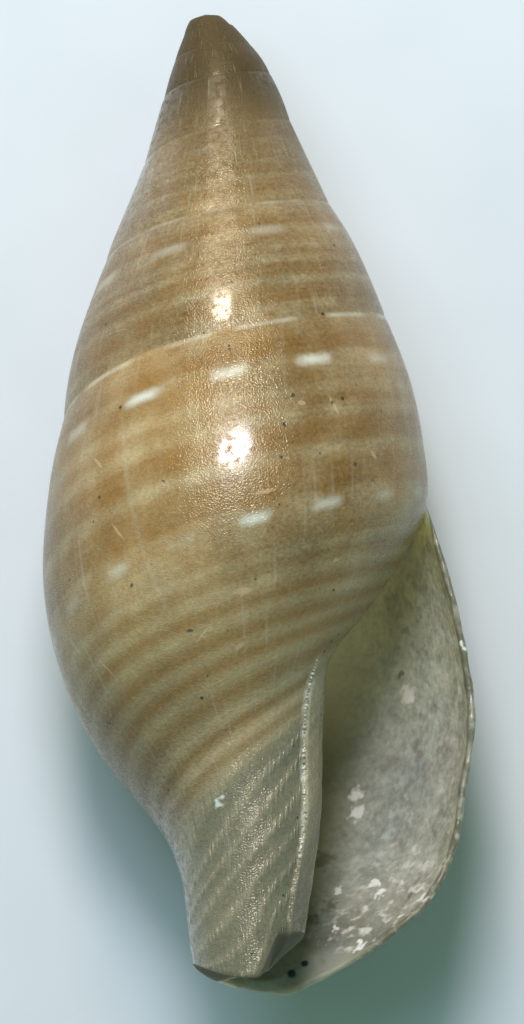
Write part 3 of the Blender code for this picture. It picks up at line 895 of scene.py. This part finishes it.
# Scratches, specks, motes and the chip, and a painted shadow, in brown, on the skin just below the glaze's
# end at the canal.
marks = 0.0
for at, down, long, wide, tilt in STREAKS:
    across, along_whorl = (at - stage) * MM_A_TURN, (down - station) * MM_A_STATION
    turn = math.radians(tilt)
    u = (across * math.cos(turn) - along_whorl * math.sin(turn)) * (1 / long)
    v = (across * math.sin(turn) + along_whorl * math.cos(turn)) * (1 / wide)
    marks = (u * u + v * v).rise(1.0, 0.3).most(marks)
colour = tree.mix(marks * MARKS_SHOW, colour, MARK_TAN)
motes = tree.noise(spot, MOTE_SCALE, 0.0).rise(0.83, 0.87) * MOTES_SHOW
colour = tree.mix(motes, colour, DIRT)
specks = EDGE_SPECKS + [frame_spot(*speck) for speck in SPECKS]
colour = tree.mix(spots(tree, spot, specks) * SPECKS_SHOW, colour, DIRT)
chip = spots(tree, ragged(tree, spot), [frame_spot(*CHIP)]) * CHIP_SHOWS
colour = tree.mix(chip, colour, CHIP_WHITE)
# Painted shadow: the skin just below the glaze's end by the canal is painted brown where shade falls.
colour = tree.mix(station.rise(*END_SHADOW_STATIONS) * stage.rise(*END_SHADOW_STAGES), colour, END_SHADOW_BROWN)
tree.feed(surface["Base Color"], colour)

# The skin is glossy, with a clear coat that is worn off the sides, and glitters on fine grains, lines of
# growth and the beads of the pillar's cords.
roughness = tree.noise(spot, ROUGH_SCALE) * ROUGHNESS_VARIES + SKIN_ROUGHNESS
tree.feed(surface["Roughness"], roughness + tipward.rise(*TIP_GOES_DULL) * TIP_DULLNESS)
surface["Specular IOR Level"].default_value = 0.55
surface["Specular Tint"].default_value = GLOSS_TINT
coat = (tree.part(spot, "X") - COAT_CENTRE).math("ABSOLUTE").rise(*COAT_SIDES)
worn_by_seam = stage.rise(-1.02, -0.99) * (1 - station.rise(*COAT_BY_SEAM))
coat = coat * (1 - worn_by_seam) * stage.rise(*COAT_ON_SPIRE)
tree.feed(surface["Coat Weight"], coat * tree.noise(spot, COAT_SCALE).rise(0.25, 0.6))
surface["Coat Roughness"].default_value = 0.15
sheen = tree.whorl_noise(stage, station, SHEEN_CELLS, 0.0, 0.0) * SHEEN_HEIGHT
glitter = tree.noise(spot, GLITTER_SCALE, 0.0) * GLITTER_HEIGHT
beads = tree.whorl_noise(stage, station, BEAD_CELLS, 4.0, 0.0).rise(0.35, 0.65)
ridges = pillar_cords * beads * (1 - callus) * RIDGE_HEIGHT
tree.feed(surface["Normal"], tree.bump(glitter + sheen + ridges))
translucent(surface, 0.6, 0.10)

# The lining is pale and lumpy just inside the lip, and olive where the room runs deep. By the seam the
# lining is painted lighter, and deeper in the room a painted glow, emission on the lining, stands in for
# the light that the thin shell lets through. Some white patches are painted glints, the rest pale patches.
# Patches and spots are (x, y, z, radius) in millimetres.
LIP_TOP_WITH_PAINTED_LIGHT = (0.57, 0.55, 0.42, 1.0)
LIP_PALE = (0.42, 0.405, 0.325, 1.0)
LIP_LOW = (0.225, 0.22, 0.17, 1.0)
LIP_END = (0.30, 0.29, 0.225, 1.0)
LIP_EDGE_GREY = (0.13, 0.122, 0.085, 1.0)
CANAL_BROWN = (0.30, 0.27, 0.185, 1.0)
FOOT_BROWN = (0.125, 0.10, 0.06, 1.0)
LINING_WHITE = (0.80, 0.73, 0.65, 1.0)
ROOM_OLIVE = (0.31, 0.275, 0.13, 1.0)
ROOM_LOW = (0.16, 0.15, 0.075, 1.0)
# Painted glow: emission colours that stand in for light coming through the thin shell into the room.
PAINTED_GLOW_DEEP = (0.010, 0.011, 0.004, 1.0)
PAINTED_GLOW_TIPWARD = (0.150, 0.145, 0.080, 1.0)
NO_GLOW = (0.0, 0.0, 0.0, 1.0)
PATCH_BROWN = (0.07, 0.062, 0.03, 1.0)
STAIN_BROWN = (0.21, 0.17, 0.11, 1.0)
SPOT_TEAL = (0.006, 0.03, 0.03, 1.0)
# Painted glints: some of these white spots are glints on the lining's lumps, the rest pale patches.
PAINTED_GLINTS_AND_PALE_PATCHES = [
    (1.488, -1.025, 0.823, 0.13), (0.938, -1.969, 0.710, 0.10), (0.929, -2.137, 0.781, 0.10),
    (1.061, -2.870, 1.432, 0.08), (0.715, -2.911, 1.321, 0.06), (1.112, -2.979, 1.592, 0.09),
    (1.268, -3.248, 2.063, 0.06), (1.497, -3.068, 2.049, 0.08), (0.903, -3.492, 2.019, 0.08),
    (0.656, -3.286, 1.701, 0.05), (2.036, -0.703, 1.950, 0.06),
]
BROWN_PATCHES = [
    (1.385, -3.031, 1.866, 0.05), (0.569, -2.592, 0.980, 0.15), (1.413, -0.822, 0.731, 0.06),
    (0.451, -3.199, 1.554, 0.10), (0.630, -3.059, 1.456, 0.12),
]
TEAL_SPOTS = [(0.224, -3.716, 1.918, 0.06), (0.353, -3.626, 1.890, 0.05)]
PAINTED_LIGHT_ENDS = (1.3, 2.4)
LIP_GETS_LOW = (4.0, 7.0)
LIP_ENDS = (6.5, 7.3)
CANAL_FROM = (8.0, 8.7)
FOOT_FROM = (9.2, 9.6)
RIM_STAGES = (-0.008, -0.001)
LIP_STAGES = (-0.20, -0.13)
CRUST_STAGES = (-0.16, -0.10)
DEEP_STAGES = (-0.10, -0.25)
TIPWARD = (-1.9 * MM, -0.2 * MM)
MOTTLE_SCALE = 3600.0
GRIT_SCALE = 16000.0
PATCHY_SCALE = 5000.0
CRUST_SCALE = 8500.0
BUMP_SCALE = 7000.0
MOTTLED, GRITTY, LINING_TONE = 0.22, 0.7, 0.80
STAINS_SHOW, PATCHES_SHOW, TEAL_SHOWS = 0.45, 0.6, 0.95
LINING_ROUGHNESS, LINING_VARIES, FOOT_DULLNESS = 0.12, 0.2, 0.5
BUMP_HEIGHT = 0.03

tree, surface, spot = surface_of(lining)
stage, station = growth_of(tree)
canal_side = station.rise(*CANAL_FROM)
foot_side = station.rise(*FOOT_FROM)
tipward = tree.part(spot, "Y").rise(*TIPWARD)
by_lip = stage.rise(*CRUST_STAGES)
mottle = tree.noise(spot, MOTTLE_SCALE, 4.0).rise(0.36, 0.7)
# Painted light: the lining by the seam is made lighter for light that comes through the thin shell there.
upper_with_painted_light = tree.mix(station.rise(*PAINTED_LIGHT_ENDS), LIP_TOP_WITH_PAINTED_LIGHT, LIP_PALE)
pale = tree.mix(station.rise(*LIP_GETS_LOW), upper_with_painted_light, LIP_LOW)
grit = tree.noise(spot, GRIT_SCALE, 3.0) - 0.5
pale = tree.shade(pale, mottle * MOTTLED + LINING_TONE + grit * GRITTY)
rim_share = stage.rise(*RIM_STAGES) * (tree.noise(spot, PATCHY_SCALE, 2.0).rise(0.3, 0.6) * 0.5 + 0.5)
pale = tree.mix(rim_share * (1 - station.rise(6.0, 7.0) * 0.8), pale, LIP_EDGE_GREY)
pale = tree.mix(station.rise(*LIP_ENDS), pale, LIP_END)
olive = tree.mix(canal_side, tree.mix(tipward, ROOM_LOW, ROOM_OLIVE), CANAL_BROWN)
colour = tree.mix(stage.rise(*LIP_STAGES), olive, pale)
stains = tree.noise(tree.shade(spot, -1.0), PATCHY_SCALE, 3.0).rise(0.52, 0.7) * by_lip
colour = tree.mix(stains * STAINS_SHOW, colour, STAIN_BROWN)
crust = tree.noise(spot, CRUST_SCALE, 3.0).rise(0.50, 0.72) * by_lip * (station.rise(2.5, 5.0) * 0.4 + 0.22)
colour = tree.mix(crust * (1 - station.rise(6.6, 7.3)), colour, LINING_WHITE)
shifted = ragged(tree, spot)
# Painted glints and pale patches: white spots on the lining.
colour = tree.mix(spots(tree, shifted, PAINTED_GLINTS_AND_PALE_PATCHES), colour, LINING_WHITE)
colour = tree.mix(spots(tree, shifted, BROWN_PATCHES) * PATCHES_SHOW, colour, PATCH_BROWN)
colour = tree.mix(foot_side, colour, FOOT_BROWN)
colour = tree.mix(spots(tree, spot, TEAL_SPOTS) * TEAL_SHOWS, colour, SPOT_TEAL)
tree.feed(surface["Base Color"], colour)
roughness = tree.noise(spot, PATCHY_SCALE) * LINING_VARIES + LINING_ROUGHNESS
tree.feed(surface["Roughness"], roughness + foot_side * FOOT_DULLNESS)
tree.feed(surface["Normal"], tree.bump(tree.noise(spot, BUMP_SCALE, 3.0) * BUMP_HEIGHT))
# Painted glow: the room away from the canal gets emission for light that comes through the thin shell.
deep = stage.rise(*DEEP_STAGES) * (1 - canal_side)
tree.feed(surface["Emission Color"], tree.mix(deep, NO_GLOW, tree.mix(tipward, PAINTED_GLOW_DEEP, PAINTED_GLOW_TIPWARD)))
surface["Emission Strength"].default_value = 1.0
translucent(surface, 0.8, 0.25)

# The grains on the inner lip's edge are lumps of the same glaze, brown to cream.
GRAIN_BROWN = (0.20, 0.16, 0.09, 1.0)
GRAIN_CREAM = (0.52, 0.48, 0.37, 1.0)
GRAIN_SCALE = 20000.0
tree, surface, spot = surface_of(lip_grains)
cream = tree.noise(spot, GRAIN_SCALE).rise(0.35, 0.65)
tree.feed(surface["Base Color"], tree.mix(cream, GRAIN_BROWN, GRAIN_CREAM))
surface["Roughness"].default_value = 0.25

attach(shell, "root")
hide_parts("shell")

# The table is a plain pale sheet, faintly cloudy, on which the shell lies.
TABLE_HALF = 0.3
TABLE_GREY = (0.57, 0.59, 0.60, 1.0)
TABLE_PALE = (0.63, 0.64, 0.65, 1.0)
TABLE_CLOUDS = 900.0
sheet = bpy.data.meshes.new("table")
sheet_corners = [(x * TABLE_HALF, y * TABLE_HALF, 0.0) for x, y in ((-1, -1), (1, -1), (1, 1), (-1, 1))]
sheet.from_pydata(sheet_corners, [], [(0, 1, 2, 3)])
table = bpy.data.objects.new("table", sheet)
bpy.context.scene.collection.objects.link(table)
sheet.materials.append(bpy.data.materials.new("pale_table"))
tree, surface, spot = surface_of(sheet.materials[0])
tree.feed(surface["Base Color"], tree.mix(tree.noise(spot, TABLE_CLOUDS), TABLE_GREY, TABLE_PALE))
surface["Roughness"].default_value = 0.6

# The camera looks down through a long lens, leaning a little towards the canal, with the tip at top left.
PIXEL = 0.0096 * MM
FRAME_WIDE, FRAME_HIGH = 524, 1024
TIP_PIXEL = (217, 14)
LEAN = math.radians(14)
ROLL = math.radians(3.09)
LENS = 650
SENSOR = 36
back = dip @ Vector((0, -math.sin(LEAN), math.cos(LEAN)))
up = dip @ Vector((0, math.cos(LEAN), math.sin(LEAN)))
right = Vector((1, 0, 0))
picture_up = up * math.cos(ROLL) + right * math.sin(ROLL)
picture_right = right * math.cos(ROLL) - up * math.sin(ROLL)
across = FRAME_WIDE / 2 - TIP_PIXEL[0]
down = FRAME_HIGH / 2 - TIP_PIXEL[1]
centre = Vector(shift) + picture_right * across * PIXEL - picture_up * down * PIXEL
lens = bpy.data.cameras.new("camera")
lens.lens = LENS
lens.sensor_width = SENSOR
far = FRAME_HIGH * PIXEL * LENS / SENSOR
lens.clip_start, lens.clip_end = far / 100, far * 10
camera = bpy.data.objects.new("camera", lens)
camera.matrix_world = Matrix((picture_right, picture_up, back)).transposed().to_4x4()
camera.location = centre + back * far
bpy.context.scene.collection.objects.link(camera)
bpy.context.scene.camera = camera

# Light: three lamps over the tip, which make the glints, and a large soft one above that shows in no gloss,
# with a dim greenish sky all round. Each lamp is given by its name, its angles in degrees from the camera's
# line up the picture and to the side, its two widths, its power and its tint.
LAMP_DISTANCE = 0.05
LAMPS = [
    ("key", 34, -3, (0.016, 0.009), 0.0165, (0.88, 0.86, 0.93)),
    ("glint", 57, -8, (0.009, 0.008), 0.0075, (1.0, 0.88, 0.72)),
    ("high", 70, -7, (0.022, 0.020), 0.0028, (1.0, 0.84, 0.62)),
    ("overhead", 24, -12, (0.03, 0.03), 0.0110, (0.60, 0.74, 1.0)),
]
SKY_TINT = (0.55, 1.0, 0.82, 1.0)
SKY_STRENGTH = 0.31
for name, lift, side, widths, power, tint in LAMPS:
    lift, side = math.radians(lift), math.radians(side)
    light = bpy.data.lights.new(name, "AREA")
    light.shape = "ELLIPSE"
    light.size, light.size_y = widths
    light.energy, light.color = power, tint
    lamp = bpy.data.objects.new(name, light)
    lamp.visible_glossy = name != "overhead"
    lifted = back * math.cos(lift) + picture_up * math.sin(lift)
    direction = lifted * math.cos(side) + picture_right * math.sin(side)
    lamp.location = centre + direction * LAMP_DISTANCE
    lamp.rotation_euler = (-direction).to_track_quat("-Z", "Y").to_euler()
    bpy.context.scene.collection.objects.link(lamp)
world = bpy.data.worlds.new("sky")
world.use_nodes = True
sky = world.node_tree.nodes["Background"].inputs
sky["Color"].default_value = SKY_TINT
sky["Strength"].default_value = SKY_STRENGTH
bpy.context.scene.world = world
bpy.context.scene.view_settings.view_transform = "Standard"
